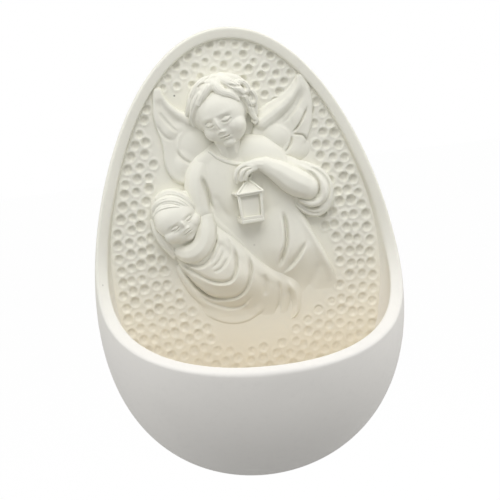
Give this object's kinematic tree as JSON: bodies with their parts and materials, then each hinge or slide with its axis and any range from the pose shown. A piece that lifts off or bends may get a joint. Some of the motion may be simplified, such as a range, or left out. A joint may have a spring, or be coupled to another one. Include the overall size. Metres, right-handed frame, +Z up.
{
  "type": "holy water stoup",
  "caption": "Wall-hung half-egg font with a sweeping rim that turns into a small water bowl, a dimpled ground and a guardian angel with lantern and swaddled child in relief.",
  "frame": {"origin": "middle of the flat back face that lies on the wall, half way up the egg", "axes": "+Y out of the back into the wall, +Z up, +X to the right of someone who looks at the front"},
  "size_m": [0.104, 0.0491, 0.1526],
  "materials": {
    "shell": "matte unglazed white casting with fine pinholes, the lip rubbed smooth",
    "plaque": "matte unglazed casting, punched all over, warmer towards the water",
    "relief": "matte unglazed casting, softly modelled by hand",
    "lantern": "matte unglazed casting, edges softened",
    "hanger": "drawn steel wire, dull grey"
  },
  "bodies": {
    "root": {"bowl_shell": "shell", "dimpled_plaque": "plaque", "hanging_wire": "hanger", "left_wing": "relief", "right_wing": "relief", "robe": "relief", "robe_collar": "relief", "skirt_fold_1": "relief", "skirt_fold_2": "relief", "cradling_sleeve": "relief", "raised_forearm": "relief", "rolled_sleeve": "relief", "lantern_hand": "relief", "angel_neck": "relief", "angel_head": "relief", "angel_hair": "relief", "lantern_ring": "lantern", "lantern_roof": "lantern", "lantern_cage": "lantern", "lantern_pane": "lantern", "lantern_foot": "lantern", "child_head": "relief", "child_hair": "relief", "hood_fold": "relief", "chin_roll": "relief", "swaddled_bundle": "relief", "swaddle_fold_1": "relief", "swaddle_fold_2": "relief", "swaddle_fold_3": "relief", "swaddle_fold_4": "relief", "swaddle_fold_5": "relief"}
  },
  "joints": []
}
